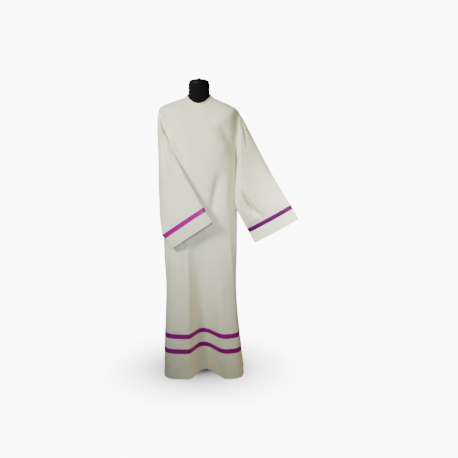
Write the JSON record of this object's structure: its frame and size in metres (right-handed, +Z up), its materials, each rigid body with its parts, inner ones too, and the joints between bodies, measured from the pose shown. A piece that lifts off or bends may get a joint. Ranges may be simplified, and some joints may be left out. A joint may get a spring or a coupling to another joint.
{
  "type": "alb robe on a limbless dress form",
  "caption": "Long ivory liturgical robe with stand collar, wide sleeves and satin ribbon bands at hem and cuffs, worn by a black limbless dress form on a pole and flat floor base.",
  "frame": {"origin": "on the floor, on the pole's axis, at the underside of the base", "axes": "+Z up; -Y is the front of the robe; +X is the wearer's left, the side of the sleeve that is held out"},
  "size_m": [0.7289, 0.4119, 1.5364],
  "materials": {
    "cloth": "matte",
    "ribbon": "satin",
    "jersey": "matte",
    "lacquer": "satin",
    "steel": "satin"
  },
  "bodies": {
    "root": {"front": "cloth", "back": "cloth", "collar": "cloth", "sleeve_left": "cloth", "sleeve_right": "cloth", "hem_ribbon_upper": "ribbon", "hem_ribbon_lower": "ribbon", "sleeve_left_ribbon": "ribbon", "sleeve_right_ribbon": "ribbon", "form_torso": "jersey", "form_neck_cap": "lacquer", "form_pole": "steel", "base": "steel"}
  },
  "joints": []
}
